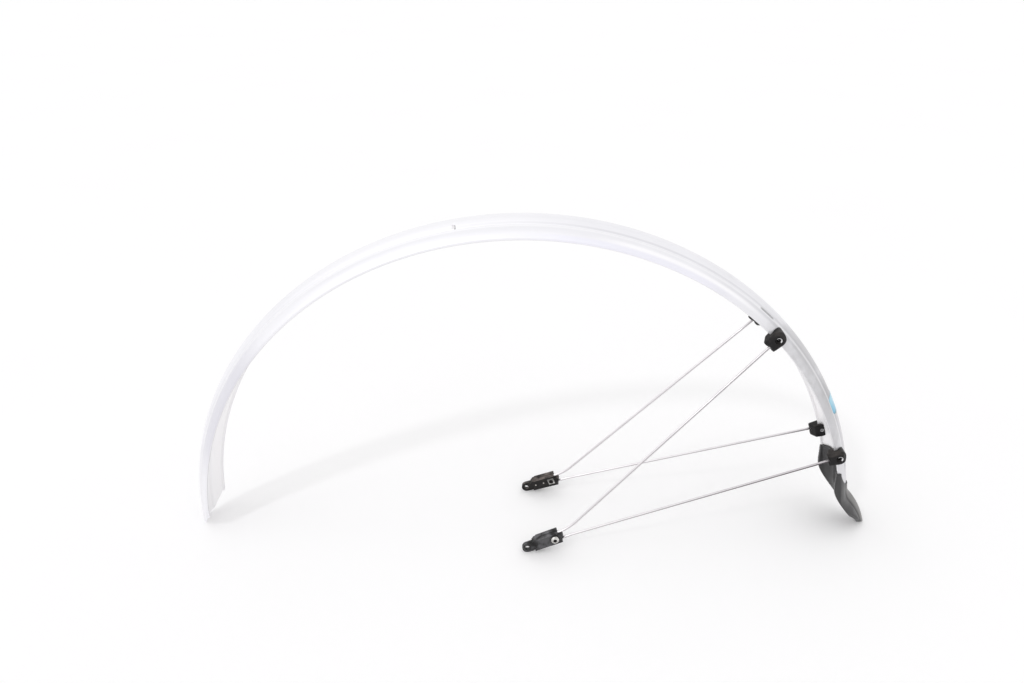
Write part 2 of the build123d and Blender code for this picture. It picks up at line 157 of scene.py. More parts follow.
class Wiring:
    """A node tree, with short ways to add nodes to it and join them."""

    def __init__(self, tree):
        self.tree = tree

    def feed(self, socket, value):
        if isinstance(value, bpy.types.NodeSocket):
            self.tree.links.new(value, socket)
        else:
            socket.default_value = value

    def add(self, kind, inputs=None, **settings):
        node = self.tree.nodes.new(kind)
        for name, value in settings.items():
            setattr(node, name, value)
        for key, value in (inputs or {}).items():
            self.feed(node.inputs[key], value)
        return node

    def math(self, operation, *values):
        return self.add("ShaderNodeMath", dict(enumerate(values)), operation=operation).outputs[0]

    def times(self, first, second):
        return self.math("MULTIPLY", first, second)

    def plus(self, first, second):
        return self.math("ADD", first, second)

    def split(self, vector):
        return self.add("ShaderNodeSeparateXYZ", {0: vector}).outputs

    def join(self, x, y, z):
        return self.add("ShaderNodeCombineXYZ", {0: x, 1: y, 2: z}).outputs[0]

    def spot(self):
        """Place of the shaded point in the object's own frame."""
        return self.add("ShaderNodeTexCoord").outputs["Object"]

    def normal(self):
        """The three parts of the shaded point's normal."""
        return self.split(self.add("ShaderNodeNewGeometry").outputs["Normal"])

    def read(self, name):
        """A value that the mesh keeps under a name."""
        return self.add("ShaderNodeAttribute", attribute_name=name).outputs["Fac"]

    def rise(self, value, low, high, start=0.0, end=1.0):
        """Soft step from start to end as the value goes from low to high."""
        ends = {"Value": value, "From Min": low, "From Max": high, "To Min": start, "To Max": end}
        return self.add("ShaderNodeMapRange", ends, interpolation_type="SMOOTHSTEP").outputs[0]

    def near(self, value, middle, reach, soft):
        """1 within reach of the middle, falling to 0 over the soft distance."""
        away = self.math("ABSOLUTE", self.math("SUBTRACT", value, middle))
        return self.rise(away, reach, reach + soft, 1.0, 0.0)

    def noise(self, place, scale, detail=2.0, roughness=0.5):
        ends = {"Vector": place, "Scale": scale, "Detail": detail, "Roughness": roughness}
        return self.add("ShaderNodeTexNoise", ends).outputs[0]

    def mix(self, share, first, second):
        """Colour between two colours."""
        return self.add("ShaderNodeMix", {0: share, 6: first, 7: second}, data_type="RGBA").outputs[2]

    def use(self, group, inputs=None):
        """Places a shared effect and gives its outputs."""
        return self.add("ShaderNodeGroup", inputs, node_tree=group).outputs


def wired(tree):
    """A tree with its wiring, what it is given and what it results in."""
    wiring = Wiring(tree)
    return tree, wiring, wiring.add("NodeGroupInput").outputs, wiring.add("NodeGroupOutput").inputs


def shared_effect(name, inputs, outputs):
    """An empty shader node group with named values in and out."""
    tree = bpy.data.node_groups.new(name, "ShaderNodeTree")
    for label, value in inputs:
        socket = tree.interface.new_socket(label, in_out="INPUT", socket_type="NodeSocketFloat")
        socket.default_value = value
    for label in outputs:
        tree.interface.new_socket(label, in_out="OUTPUT", socket_type="NodeSocketFloat")
    return wired(tree)


def place_on_arch():
    """Where a point lies, in metres along the crown and to the side, and which way it faces."""
    tree, wiring, given, result = shared_effect("place_on_arch", [], ["Along", "Side", "Facing", "Inwards"])
    x, side, z = wiring.split(wiring.spot())
    back = wiring.math("SUBTRACT", x, wheel_axis.x)
    up = wiring.math("SUBTRACT", z, wheel_axis.z)
    turn = wiring.math("ARCTAN2", up, back)
    towards = wiring.normal()
    facing = wiring.plus(wiring.times(wiring.math("COSINE", turn), towards[0]),
                         wiring.times(wiring.math("SINE", turn), towards[2]))
    outwards = wiring.math("MINIMUM", facing, wiring.times(towards[1], wiring.math("SIGN", side)))
    wiring.feed(result["Along"], wiring.times(turn, crown_radius))
    wiring.feed(result["Side"], side)
    wiring.feed(result["Facing"], facing)
    wiring.feed(result["Inwards"], wiring.times(outwards, -1.0))
    return tree


def hairline_scratches():
    """Sparse thin scratches that run along one direction of a surface."""
    inputs = [("Along", 0.0), ("Across", 0.0), ("Stretch", 12.0), ("Fineness", 900.0), ("Sparseness", 0.68)]
    tree, wiring, given, result = shared_effect("hairline_scratches", inputs, ["Mask"])
    along = wiring.times(given["Along"], given["Stretch"])
    across = wiring.times(given["Across"], given["Fineness"])
    lines = wiring.noise(wiring.join(along, across, 0.0), 1.0, detail=1.0)
    patches = wiring.noise(wiring.join(along, wiring.times(across, 0.02), 4.0), 0.8)
    strokes = wiring.rise(lines, given["Sparseness"], wiring.plus(given["Sparseness"], 0.06))
    wiring.feed(result["Mask"], wiring.times(strokes, wiring.rise(patches, 0.45, 0.7)))
    return tree


def moulded_grain():
    """Fine grain of a moulding, with dust that settles on what faces up, partly painted top light, or clings
    all over.
    """
    inputs = [("Fineness", 2600.0), ("Dust", 0.5), ("Cling", 0.0)]
    tree, wiring, given, result = shared_effect("moulded_grain", inputs, ["Height", "Dust", "Tone"])
    place = wiring.spot()
    patches = wiring.noise(place, 95.0, detail=4.0, roughness=0.62)
    # Dust where the normal points up, which also stands for painted light on top faces, or all over as far
    # as it clings
    upwards = wiring.math("MAXIMUM", wiring.rise(wiring.normal()[2], 0.1, 0.95), given["Cling"])
    settled = wiring.times(upwards, wiring.rise(patches, 0.35, 0.68))
    wiring.feed(result["Height"], wiring.noise(place, given["Fineness"], detail=3.0, roughness=0.6))
    wiring.feed(result["Dust"], wiring.times(settled, given["Dust"]))
    wiring.feed(result["Tone"], wiring.noise(place, 38.0, detail=3.0))
    return tree


def handling_marks():
    """Soft cloudy marks that change how glossy a handled surface is, and fine specks."""
    tree, wiring, given, result = shared_effect("handling_marks", [("Scale", 30.0)], ["Mask", "Specks"])
    place = wiring.spot()
    clouds = wiring.noise(place, given["Scale"], detail=5.0, roughness=0.6)
    fine = wiring.noise(place, wiring.times(given["Scale"], 22.0))
    wiring.feed(result["Mask"], wiring.rise(clouds, 0.38, 0.66))
    wiring.feed(result["Specks"], wiring.rise(fine, 0.66, 0.74))
    return tree


arch_place = place_on_arch()
scratches = hairline_scratches()
grain = moulded_grain()
marks = handling_marks()


def finish(name, **constants):
    """A material with one Principled shader, its wiring and that shader's inputs."""
    material = bpy.data.materials.new(name)
    material.use_nodes = True
    material.node_tree.nodes.clear()
    wiring = Wiring(material.node_tree)
    sockets = {label.replace("_", " "): value for label, value in constants.items()}
    skin = wiring.add("ShaderNodeBsdfPrincipled", sockets)
    wiring.add("ShaderNodeOutputMaterial", {"Surface": skin.outputs[0]})
    return material, wiring, skin.inputs


def bumped(wiring, skin, height, strength, depth):
    bump = wiring.add("ShaderNodeBump", {"Strength": strength, "Distance": depth, "Height": height})
    wiring.feed(skin["Normal"], bump.outputs[0])


def silver_blade():
    """Silver blade: drawn sheen, painted shade low down, painted highlights and shade in patches, at the
    shoulders and inside, a dark slot mark and a dark streak.
    """
    material, wiring, skin = finish("silver_blade", Metallic=0.45, Coat_Weight=0.3, Coat_Roughness=0.12)
    place = wiring.use(arch_place)
    along, side = place["Along"], place["Side"]
    off_middle = wiring.math("ABSOLUTE", side)
    on_flank = wiring.rise(off_middle, shoulder_side, shoulder_side + 3 * mm)

    def between(first, last, start=0.0, end=1.0):
        """Soft change from one angle round the arch to another, in degrees."""
        return wiring.rise(along, crown_length(first), crown_length(last), start, end)

    # Drawn sheen, and painted shade that darkens it in patches towards the rear end and lower down
    cloudy = wiring.use(marks, {"Scale": 16.0})
    drawn_place = wiring.join(wiring.times(along, 6.0), wiring.times(side, 230.0), 0.0)
    drawn = wiring.noise(drawn_place, 1.0, detail=1.0)
    hairs = wiring.use(scratches, {"Along": along, "Across": side, "Fineness": 600.0})["Mask"]
    colour = wiring.mix(drawn, (0.82, 0.815, 0.85, 1), (0.89, 0.885, 0.915, 1))
    colour = wiring.mix(wiring.times(cloudy["Mask"], 0.25), colour, (0.79, 0.785, 0.815, 1))
    colour = wiring.mix(wiring.times(hairs, 0.2), colour, (0.93, 0.93, 0.94, 1))
    # The film is painted shade, growing from 64 to 38 degrees; below 37 degrees more painted shade comes in,
    # a little stronger on the flank
    film = wiring.times(between(64, 38), wiring.rise(cloudy["Mask"], -0.6, 0.8))
    colour = wiring.mix(wiring.times(film, 0.8), colour, (0.50, 0.495, 0.505, 1))
    painted_low_shade = wiring.times(between(37, 30), between(18, 27, 0.35, 1.0))
    painted_low_shade = wiring.times(painted_low_shade, wiring.rise(on_flank, 0.0, 1.0, 0.36, 0.45))
    colour = wiring.mix(painted_low_shade, colour, (0.36, 0.355, 0.365, 1))

    # Painted highlights and painted shade in patches, pale at 64 and 106 degrees and darker at 72 and 152:
    # middle, reach and soft edge in degrees, then share, where and tone
    flank_middle = wiring.near(off_middle, 21.8 * mm, 0.6 * mm, 2.6 * mm)
    by_edge = wiring.near(off_middle, 25.4 * mm, 1.0 * mm, 2.2 * mm)
    on_crown = wiring.math("SUBTRACT", 1.0, on_flank)
    for middle, reach, soft, share, where, tone in (
        (152, 6, 12, 0.5, on_flank, (0.58, 0.57, 0.64, 1)),
        (64, 8, 9, 0.85, flank_middle, (0.97, 0.96, 0.98, 1)),
        (72, 10, 10, 0.35, by_edge, (0.80, 0.79, 0.93, 1)),
        (106, 12, 14, 0.3, on_crown, (0.97, 0.96, 0.98, 1)),
    ):
        patch = wiring.near(along, crown_length(middle), crown_length(reach), crown_length(soft))
        colour = wiring.mix(wiring.times(patch, wiring.times(where, share)), colour, tone)

    # Painted light: the inside painted paler, and painted shade on the grey lips
    colour = wiring.mix(wiring.rise(place["Inwards"], 0.1, 0.4), colour, (0.95, 0.94, 0.95, 1))
    lip = wiring.times(wiring.rise(off_middle, 24.8 * mm, 25.1 * mm),
                       wiring.rise(place["Facing"], -0.2, -0.7))
    colour = wiring.mix(wiring.times(lip, 0.55), colour, (0.45, 0.45, 0.48, 1))

    # Painted shade as a dark line within each shoulder and a dark hollow below it, and a painted highlight
    # as a bright line on its top
    painted_shoulder_line = wiring.near(off_middle, shoulder_side - 1.7 * mm, 0.4 * mm, 0.9 * mm)
    painted_shoulder_line = wiring.times(painted_shoulder_line, wiring.rise(wiring.noise(drawn_place, 0.6), -0.1, 0.6))
    painted_shoulder_line = wiring.times(painted_shoulder_line, between(100, 72, 0.3, 1.0))
    hollow = wiring.near(off_middle, shoulder_side + 4.9 * mm, 0.6 * mm, 2.4 * mm)
    hollow = wiring.times(wiring.times(hollow, between(64, 46)), between(20, 27))
    painted_dips = wiring.times(wiring.math("MAXIMUM", painted_shoulder_line, hollow), 0.2)
    colour = wiring.mix(painted_dips, colour, (0.25, 0.25, 0.28, 1))
    painted_highlight_line = wiring.near(off_middle, shoulder_side + 0.8 * mm, 0.9 * mm, 1.2 * mm)
    colour = wiring.mix(wiring.times(painted_highlight_line, 0.42), colour, (0.95, 0.945, 0.965, 1))

    # A dark mark on the slot's rear side, and a dark streak on the left shoulder above the upper clip
    slot_rear = crown_radius * slot_angle - slot_width / 2
    overlay = wiring.times(wiring.near(along, slot_rear, 0.3 * mm, 0.5 * mm),
                         wiring.near(side, slot_side - 0.8 * mm, 1.6 * mm, 0.5 * mm))
    colour = wiring.mix(overlay, colour, (0.1, 0.1, 0.11, 1))
    dark_streak = wiring.times(wiring.near(along, crown_length(48.5), 8 * mm, 3 * mm),
                         wiring.near(side, -13.8 * mm, 0.9 * mm, 0.6 * mm))
    broken = wiring.noise(wiring.join(along, side, 2.0), 600.0)
    dark_streak = wiring.times(dark_streak, wiring.rise(broken, 0.2, 0.45))
    wiring.feed(skin["Base Color"], wiring.mix(dark_streak, colour, (0.43, 0.43, 0.44, 1)))

    rough = wiring.plus(wiring.times(drawn, 0.12), 0.29)
    rough = wiring.plus(rough, wiring.times(cloudy["Mask"], 0.08))
    wiring.feed(skin["Roughness"], wiring.plus(rough, wiring.times(dark_streak, 0.3)))
    bumped(wiring, skin, drawn, 0.1, 0.03 * mm)
    return material


def black_plastic():
    """Black moulded plastic with fine grain, grey dust and painted top light on its top faces, and pale
    pips.
    """
    material, wiring, skin = finish("black_plastic", Specular_IOR_Level=0.13)
    cling = wiring.read("cling")
    surface = wiring.use(grain, {"Fineness": 2600.0, "Dust": wiring.read("dusty"), "Cling": cling})
    place = wiring.spot()
    # Pale dots on the pips
    pale_marks = 0.0
    for side in (1, -1):
        for along, across in pip_places:
            pip = stay_plane(side) @ Vector((along, across, -half_body - pip_height))
            away = wiring.add("ShaderNodeVectorMath", {0: place, 1: pip}, operation="DISTANCE")
            pale_dot = wiring.rise(away.outputs["Value"], 0.7 * mm, 1.05 * mm, 1.0, 0.0)
            pale_marks = wiring.math("MAXIMUM", pale_marks, pale_dot)
    colour = wiring.mix(surface["Tone"], (0.010, 0.0095, 0.010, 1), (0.020, 0.019, 0.019, 1))
    # Dust colour: brownish on top faces, where it is partly painted top light, and grey where it clings all
    # over
    overlay = wiring.mix(wiring.rise(cling, 0.1, 0.6), (0.21, 0.18, 0.165, 1), (0.185, 0.185, 0.195, 1))
    colour = wiring.mix(surface["Dust"], colour, overlay)
    wiring.feed(skin["Base Color"], wiring.mix(pale_marks, colour, (0.5, 0.48, 0.45, 1)))
    rough = wiring.plus(wiring.times(surface["Tone"], 0.2), 0.36)
    wiring.feed(skin["Roughness"], wiring.plus(rough, wiring.times(surface["Dust"], 0.3)))
    bumped(wiring, skin, surface["Height"], 0.35, 0.06 * mm)
    return material


def flap_rubber():
    """Charcoal rubber with fine grain, a painted sheen along its middle and pale scuffs near the ground."""
    material, wiring, skin = finish("flap_rubber", Specular_IOR_Level=0.5)
    surface = wiring.use(grain, {"Fineness": 1900.0, "Dust": 0.3})
    place = wiring.use(arch_place)
    cloudy = wiring.use(marks, {"Scale": 60.0})
    colour = wiring.mix(surface["Tone"], (0.024, 0.0235, 0.025, 1), (0.038, 0.037, 0.038, 1))
    # Painted sheen: a paler band along the middle of the outside
    painted_sheen = wiring.times(wiring.near(place["Side"], 0.0, 11 * mm, 3 * mm),
                         wiring.rise(place["Facing"], 0.2, 0.7))
    colour = wiring.mix(wiring.times(painted_sheen, 0.85), colour, (0.19, 0.185, 0.18, 1))
    colour = wiring.mix(surface["Dust"], colour, (0.17, 0.165, 0.16, 1))
    height = wiring.split(wiring.spot())[2]
    pale_marks = wiring.times(wiring.rise(height, 12 * mm, 0.0), cloudy["Specks"])
    wiring.feed(skin["Base Color"], wiring.mix(pale_marks, colour, (0.24, 0.235, 0.23, 1)))
    wiring.feed(skin["Roughness"], wiring.plus(wiring.times(cloudy["Mask"], 0.12), 0.34))
    bumped(wiring, skin, surface["Height"], 0.4, 0.08 * mm)
    return material


def stay_steel():
    """Drawn steel wire: bright above, painted shade underneath, dimmer on some stretches, with fine lines
    along it and handling marks.
    """
    material, wiring, skin = finish("stay_steel", Metallic=1.0)
    along, around, dimness = (wiring.read(name) for name in ("along", "around", "dull"))
    drawn_place = wiring.join(wiring.times(along, 40.0), wiring.times(around, 26.0), 0.0)
    drawn = wiring.noise(drawn_place, 1.0, detail=3.0, roughness=0.6)
    cloudy = wiring.use(marks, {"Scale": 45.0})
    strokes = {"Along": along, "Across": around, "Stretch": 60.0, "Fineness": 30.0}
    hairs = wiring.use(scratches, strokes)["Mask"]
    bright = wiring.mix(drawn, (0.86, 0.84, 0.855, 1), (0.95, 0.93, 0.945, 1))
    bright = wiring.mix(wiring.times(dimness, 0.8), bright, (0.55, 0.52, 0.54, 1))
    faint = wiring.mix(drawn, (0.63, 0.605, 0.62, 1), (0.73, 0.70, 0.72, 1))
    dull = wiring.mix(drawn, (0.04, 0.03, 0.035, 1), (0.09, 0.075, 0.085, 1))
    # Painted shade on the underside, from a faint grey to near black as the wire is dimmer
    painted_underside_shade = wiring.rise(wiring.normal()[2], 0.75, 0.35)
    colour = wiring.mix(painted_underside_shade, bright, wiring.mix(dimness, faint, dull))
    colour = wiring.mix(wiring.times(cloudy["Mask"], 0.18), colour, (0.45, 0.43, 0.45, 1))
    wiring.feed(skin["Base Color"], wiring.mix(hairs, colour, (0.62, 0.61, 0.62, 1)))
    rough = wiring.plus(wiring.times(drawn, 0.16), 0.2)
    wiring.feed(skin["Roughness"], wiring.plus(rough, wiring.times(cloudy["Mask"], 0.1)))
    bumped(wiring, skin, drawn, 0.15, 0.03 * mm)
    return material


def bright_metal(name, dark, light, dull):
    """Metal of small fasteners: cloudy tarnished patches, specks, turning marks, and black where a mark says
    so, partly a coating and partly painted shade.
    """
    material, wiring, skin = finish(name, Metallic=1.0)
    cloudy = wiring.use(marks, {"Scale": 240.0})
    turned = wiring.noise(wiring.spot(), 3200.0)
    coated = wiring.read("coated")
    colour = wiring.mix(wiring.times(cloudy["Mask"], 0.6), light, dark)
    colour = wiring.mix(wiring.times(cloudy["Specks"], 0.5), colour, dull)
    wiring.feed(skin["Base Color"], wiring.mix(coated, colour, (0.022, 0.02, 0.02, 1)))
    rough = wiring.plus(wiring.times(cloudy["Mask"], 0.18), 0.18)
    wiring.feed(skin["Roughness"], wiring.plus(rough, wiring.times(coated, 0.25)))
    bumped(wiring, skin, turned, 0.12, 0.03 * mm)
    return material


def blue_film():
    """Glossy light blue film, paler at its upper end and darker at its lower tip, with fine scratches."""
    material, wiring, skin = finish("blue_film", Coat_Weight=0.4, Coat_Roughness=0.1)
    place = wiring.use(arch_place)
    down = wiring.math("SUBTRACT", crown_radius * film_angle, place["Along"])
    cloudy = wiring.use(marks, {"Scale": 90.0})
    shade = wiring.rise(down, -film_length / 2, film_length / 2)
    colour = wiring.mix(shade, (0.36, 0.65, 0.79, 1), (0.13, 0.46, 0.67, 1))
    colour = wiring.mix(wiring.rise(down, 6.5 * mm, 11 * mm), colour, (0.08, 0.25, 0.33, 1))
    colour = wiring.mix(wiring.times(cloudy["Mask"], 0.2), colour, (0.5, 0.72, 0.82, 1))
    hairs = wiring.use(scratches, {"Along": place["Along"], "Across": place["Side"], "Fineness": 2200.0})
    wiring.feed(skin["Base Color"], wiring.mix(hairs["Mask"], colour, (0.75, 0.86, 0.9, 1)))
    wiring.feed(skin["Roughness"], wiring.plus(wiring.times(cloudy["Mask"], 0.15), 0.29))
    bumped(wiring, skin, cloudy["Specks"], 0.1, 0.03 * mm)
    return material


rivet_tones = ((0.6, 0.6, 0.61, 1), (0.86, 0.86, 0.87, 1), (0.3, 0.3, 0.3, 1))
clamp_tones = ((0.42, 0.41, 0.39, 1), (0.72, 0.71, 0.69, 1), (0.2, 0.19, 0.18, 1))
finishes = {
    "silver_blade": silver_blade(),
    "black_plastic": black_plastic(),
    "flap_rubber": flap_rubber(),
    "stay_steel": stay_steel(),
    "rivet_metal": bright_metal("rivet_metal", *rivet_tones),
    "clamp_steel": bright_metal("clamp_steel", *clamp_tones),
    "blue_film": blue_film(),
}


def geometry_tree(name, inputs):
    """An empty Geometry Nodes tree with named inputs."""
    tree = bpy.data.node_groups.new(name, "GeometryNodeTree")
    tree.interface.new_socket("Geometry", in_out="OUTPUT", socket_type="NodeSocketGeometry")
    for label, kind in inputs:
        tree.interface.new_socket(label, in_out="INPUT", socket_type=f"NodeSocket{kind}")
    return wired(tree)


def finished_by(wiring, result, given, made):
    """Ends a tree in real geometry with its material."""
    real = wiring.add("GeometryNodeRealizeInstances", {"Geometry": made}).outputs[0]
    dressed = wiring.add("GeometryNodeSetMaterial", {"Geometry": real, "Material": given["Material"]})
    wiring.feed(result["Geometry"], dressed.outputs[0])


def marked(wiring, made, name, value):
    """Keeps a value at each point under a name."""
    ends = {"Geometry": made, "Name": name, "Value": value}
    return wiring.add("GeometryNodeStoreNamedAttribute", ends, data_type="FLOAT", domain="POINT").outputs[0]


def mark(wiring, name, kind="FLOAT"):
    """A value that the points keep under a name."""
    return wiring.add("GeometryNodeInputNamedAttribute", {"Name": name}, data_type=kind).outputs[0]


def formed_blade_tree():
    """A closed section carried round the wheel axis, with each end rounded off towards its tip."""
    inputs = [("Section", "Object"), ("Loop Points", "Int"), ("Steps", "Int"), ("Rear Angle", "Float"),
              ("Front Angle", "Float"), ("End Rounding", "Float"), ("Half Width", "Float"),
              ("Axis", "Vector"), ("Material", "Material")]
    tree, wiring, given, result = geometry_tree("formed_blade", inputs)
    math, times, plus = wiring.math, wiring.times, wiring.plus
    section = wiring.add("GeometryNodeObjectInfo", {"Object": given["Section"]}).outputs["Geometry"]
    points = given["Loop Points"]
    half = math("DIVIDE", points, 2)
    position = wiring.add("GeometryNodeInputPosition").outputs[0]
    x, y = wiring.split(position)[:2]
    share_x = plus(x, 0.5)
    share_y = plus(y, 0.5)

    def strip(across, lengthways):
        sizes = {"Size X": 1.0, "Size Y": 1.0, "Vertices X": across, "Vertices Y": lengthways}
        return wiring.add("GeometryNodeMeshGrid", sizes).outputs["Mesh"]

    # One strip for the whole skin and one to close each end
    skin = strip(plus(points, 1), plus(given["Steps"], 1))
    skin_loop = math("MODULO", math("ROUND", times(share_x, points)), points)
    strips = [marked(wiring, marked(wiring, skin, "loop", skin_loop), "reach", share_y)]
    for end in (0.0, 1.0):
        place = math("ROUND", times(share_x, math("SUBTRACT", half, 1)))
        across = math("SUBTRACT", math("SUBTRACT", points, 1), times(place, 2))
        loop = plus(place, times(math("ROUND", share_y), across))
        strips.append(marked(wiring, marked(wiring, strip(half, 2), "loop", loop), "reach", end))
    joined = wiring.add("GeometryNodeJoinGeometry")
    for made in strips:
        wiring.feed(joined.inputs[0], made)

    # Each point goes to its place in the section, at its share of the way round
    ends = {"Geometry": section, "Value": position, "Index": mark(wiring, "loop")}
    sample = wiring.add("GeometryNodeSampleIndex", ends, data_type="FLOAT_VECTOR", domain="POINT")
    side, height = wiring.split(sample.outputs[0])[:2]
    share = math("MINIMUM", math("ABSOLUTE", math("DIVIDE", side, given["Half Width"])), 1.0)
    narrow = math("SQRT", math("SUBTRACT", 1.0, times(share, share)))
    setback = times(given["End Rounding"], math("SUBTRACT", 1.0, narrow))
    turn = math("ARCSINE", math("DIVIDE", setback, height))
    start = plus(given["Rear Angle"], turn)
    end = math("SUBTRACT", given["Front Angle"], turn)
    angle = plus(start, times(mark(wiring, "reach"), math("SUBTRACT", end, start)))
    spot = wiring.join(times(height, math("COSINE", angle)), side, times(height, math("SINE", angle)))
    spot = wiring.add("ShaderNodeVectorMath", {0: spot, 1: given["Axis"]}, operation="ADD").outputs[0]
    moved = wiring.add("GeometryNodeSetPosition", {"Geometry": joined.outputs[0], "Position": spot})
    ends = {"Geometry": moved.outputs[0], "Distance": weld_distance}
    closed = wiring.add("GeometryNodeMergeByDistance", ends)
    finished_by(wiring, result, given, closed.outputs[0])
    return tree


def bent_wire_tree():
    """A round wire along a route, with its corner bent to a radius."""
    inputs = [("Route", "Object"), ("Bend Radius", "Float"), ("Wire Radius", "Float"),
              ("Dull Start", "Float"), ("Dull End", "Float"), ("Material", "Material")]
    tree, wiring, given, result = geometry_tree("bent_wire", inputs)
    route = wiring.add("GeometryNodeObjectInfo", {"Object": given["Route"]}).outputs["Geometry"]
    bends = {"Curve": route, "Count": bend_steps, "Radius": given["Bend Radius"]}
    bent = wiring.add("GeometryNodeFilletCurve", bends, mode="POLY").outputs[0]
    progress = wiring.add("GeometryNodeSplineParameter").outputs
    length = progress["Length"]
    ring = {"Resolution": wire_facets, "Radius": given["Wire Radius"]}
    circle = wiring.add("GeometryNodeCurvePrimitiveCircle", ring).outputs[0]
    swept = wiring.add("GeometryNodeCurveToMesh", {"Fill Caps": True})
    dull = wiring.rise(length, dimming_start, dimming_end, given["Dull Start"], given["Dull End"])
    wiring.feed(swept.inputs["Curve"], marked(wiring, marked(wiring, bent, "along", length), "dull", dull))
    wiring.feed(swept.inputs["Profile Curve"], marked(wiring, circle, "around", progress["Factor"]))
    finished_by(wiring, result, given, swept.outputs[0])
    return tree


def fasteners_tree():
    """One fastener form set at each point, turned as the point says."""
    inputs = [("Points", "Geometry"), ("Form", "Object"), ("Material", "Material")]
    tree, wiring, given, result = geometry_tree("fasteners", inputs)
    form = wiring.add("GeometryNodeObjectInfo", {"Object": given["Form"], "As Instance": True})
    turn = mark(wiring, "turn", "FLOAT_VECTOR")
    ends = {"Points": given["Points"], "Instance": form.outputs["Geometry"], "Rotation": turn}
    finished_by(wiring, result, given, wiring.add("GeometryNodeInstanceOnPoints", ends).outputs[0])
    return tree


def shown(name, mesh):
    """A new object at the origin that shows a mesh."""
    piece = bpy.data.objects.new(name, mesh)
    scene.collection.objects.link(piece)
    return piece


def mesh_of(shape, name):
    """A mesh from a finished bmesh, which is freed."""
    mesh = bpy.data.meshes.new(name)
    shape.to_mesh(mesh)
    shape.free()
    return mesh


def settled_mesh(piece):
    """The piece's mesh with its modifiers taken in."""
    graph = bpy.context.evaluated_depsgraph_get()
    settled = piece.evaluated_get(graph)
    return bpy.data.meshes.new_from_object(settled, preserve_all_data_layers=True, depsgraph=graph)


def grown(name, tree, values, seed_mesh=None):
    """What a tree makes from its named inputs, as a plain mesh object."""
    seed = shown(f"{name}_seed", seed_mesh or bpy.data.meshes.new(f"{name}_seed"))
    modifier = seed.modifiers.new("shape", "NODES")
    modifier.node_group = tree
    for item in tree.interface.items_tree:
        if item.in_out == "INPUT" and item.name in values:
            modifier[item.identifier] = values[item.name]
    mesh = settled_mesh(seed)
    seed.modifiers.remove(modifier)
    bpy.data.objects.remove(seed)
    return shown(name, mesh)


def taken_in(piece):
    """Takes a piece's modifiers into its mesh."""
    mesh = settled_mesh(piece)
    piece.modifiers.clear()
    piece.data = mesh
    return piece


def cut_by(piece, cutter, solver):
    """Cuts a cutter's shape out of a piece, then removes the cutter."""
    cut = piece.modifiers.new("cut", "BOOLEAN")
    cut.operation = "DIFFERENCE"
    cut.solver = solver
    cut.object = cutter
    taken_in(piece)
    bpy.data.objects.remove(cutter)


def smoothed(piece, crease):
    """Outward normals, and smooth shading up to a crease angle in degrees."""
    shape = bmesh.new()
    shape.from_mesh(piece.data)
    bmesh.ops.recalc_face_normals(shape, faces=shape.faces)
    shape.to_mesh(piece.data)
    shape.free()
    piece.data.shade_smooth()
    piece.data.set_sharp_from_angle(angle=radians(crease))
    return piece


def rounded_edges(piece, width, segments, crease):
    """Rounds the edges that are sharper than a crease angle in degrees."""
    bevel = piece.modifiers.new("rounding", "BEVEL")
    bevel.width = width
    bevel.segments = segments
    bevel.limit_method = "ANGLE"
    bevel.angle_limit = radians(crease)
    bevel.miter_outer = "MITER_ARC"
    return taken_in(piece)


def eased(piece, fineness, rounds):
    """A piece's shape gone over with a fine even skin and smoothed, which rounds all its edges."""
    skin = piece.modifiers.new("skin", "REMESH")
    skin.mode = "VOXEL"
    skin.voxel_size = fineness
    ease = piece.modifiers.new("ease", "SMOOTH")
    ease.factor = 0.5
    ease.iterations = rounds
    return taken_in(piece)


def placed(piece, slot, *nodes):
    """Attaches a finished piece to the root body and hides the solids that it stands for; its slot is not
    used.
    """
    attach(piece, "root")
    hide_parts(*nodes)


def point_mark(mesh, name, value_at):
    """Keeps a value for each point of a mesh under a name."""
    values = mesh.attributes.new(name, "FLOAT", "POINT")
    for vert, item in zip(mesh.vertices, values.data):
        item.value = value_at(vert.co)


def blade_half_section():
    """Outer and inner half sections, as side and height pairs from the crown's middle to the edge."""
    crown_turn = asin(shoulder_side / crown_round)
    outer = []
    for index in range(loop_crown_points):
        turn = crown_turn * index / loop_crown_points
        outer.append((crown_round * sin(turn), crown_radius - crown_round * (1 - cos(turn))))
    shoulder = Vector((shoulder_side, crown_radius - crown_rise))
    lip = Vector((blade_half_width, lip_top))
    chord = lip - shoulder
    flank_round = chord.length ** 2 / (8 * flank_bulge) + flank_bulge / 2
    square = Vector((-chord.y, chord.x)).normalized()
    centre = (shoulder + lip) / 2 + square * (flank_bulge - flank_round)
    flank_turn = (shoulder - centre).angle_signed(lip - centre)
    for index in range(loop_flank_points + 1):
        share = (index / loop_flank_points) ** 1.15
        arm = shoulder - centre
        arm.rotate(Matrix.Rotation(-flank_turn * share, 2))
        along = flank_round * abs(flank_turn) * share
        swell = bead_height * (0.5 - 0.5 * cos(2 * pi * min(along / bead_width, 1.0)))
        spot = centre + arm * (1 + swell / flank_round)
        outer.append((spot.x, spot.y))
    inner = []
    limit = blade_half_width - blade_thickness - hem_thickness
    for index, (side, height) in enumerate(outer):
        before = Vector(outer[max(index - 1, 0)])
        after = Vector(outer[min(index + 1, len(outer) - 1)])
        lengthways = (after - before).normalized()
        inwards = side + lengthways.y * blade_thickness
        inner.append((min(inwards, limit), height - lengthways.x * blade_thickness))
    inner[0] = (0.0, crown_radius - blade_thickness)
    lip_steps = ((0.0, 1.5), (0.0, 1.15), (0.0, 0.8), (0.12, 0.38), (0.42, 0.1), (0.75, 0.0))
    for inset, rise in lip_steps:
        outer.append((blade_half_width - inset * mm, blade_edge + rise * mm))
        inner.append((limit + inset * mm, blade_edge + rise * mm))
    return outer, inner


